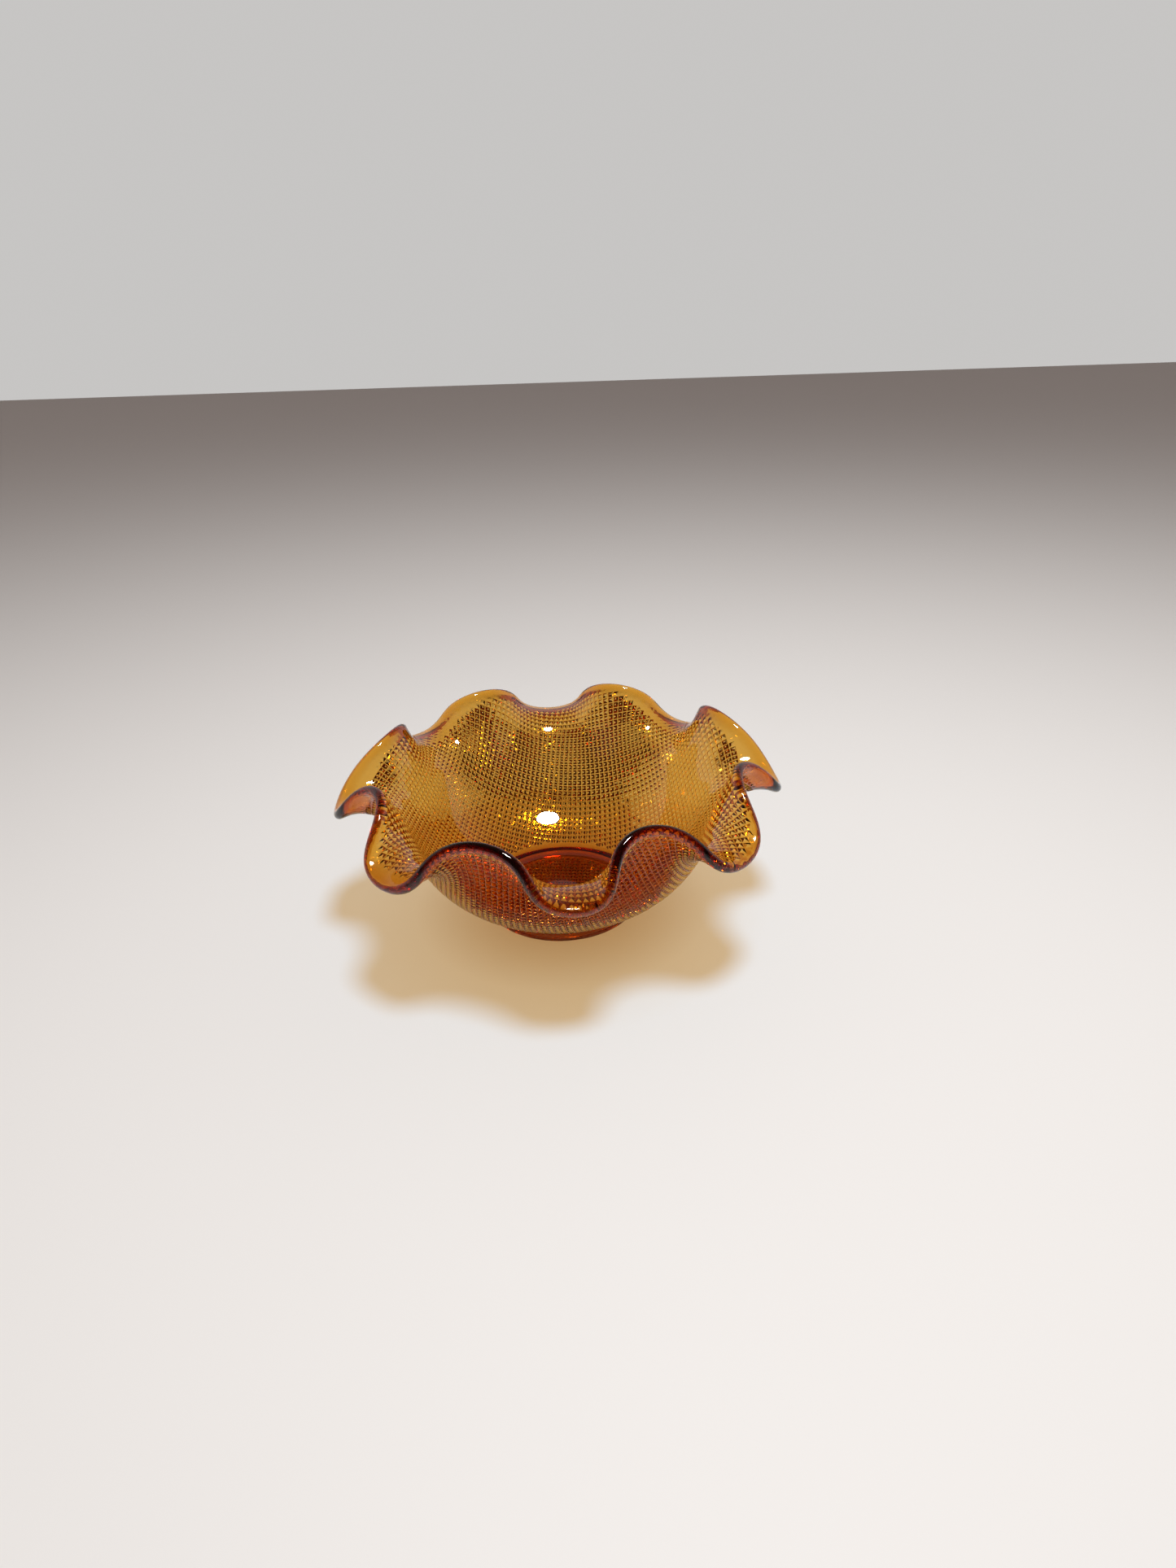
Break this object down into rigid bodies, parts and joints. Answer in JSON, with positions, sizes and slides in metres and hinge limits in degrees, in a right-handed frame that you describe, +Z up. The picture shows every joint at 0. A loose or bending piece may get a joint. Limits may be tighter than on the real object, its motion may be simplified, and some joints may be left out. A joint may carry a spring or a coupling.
{
  "type": "candy dish",
  "caption": "Shallow footed candy dish of pressed amber glass, with a deeply ruffled rim and a fine square waffle pattern on the outside.",
  "frame": {"origin": "centre of the foot ring, in the plane that the dish stands on", "axes": "+Z up along the foot's axis, -Y towards the viewer, through the middle of one lobe of the rim"},
  "size_m": [0.1778, 0.1748, 0.07],
  "materials": {
    "amber_glass": "clear transparent amber pressed glass, fire-polished, golden where thin and red-brown where thick"
  },
  "bodies": {
    "root": {"glass_dish": "amber_glass"}
  },
  "joints": []
}
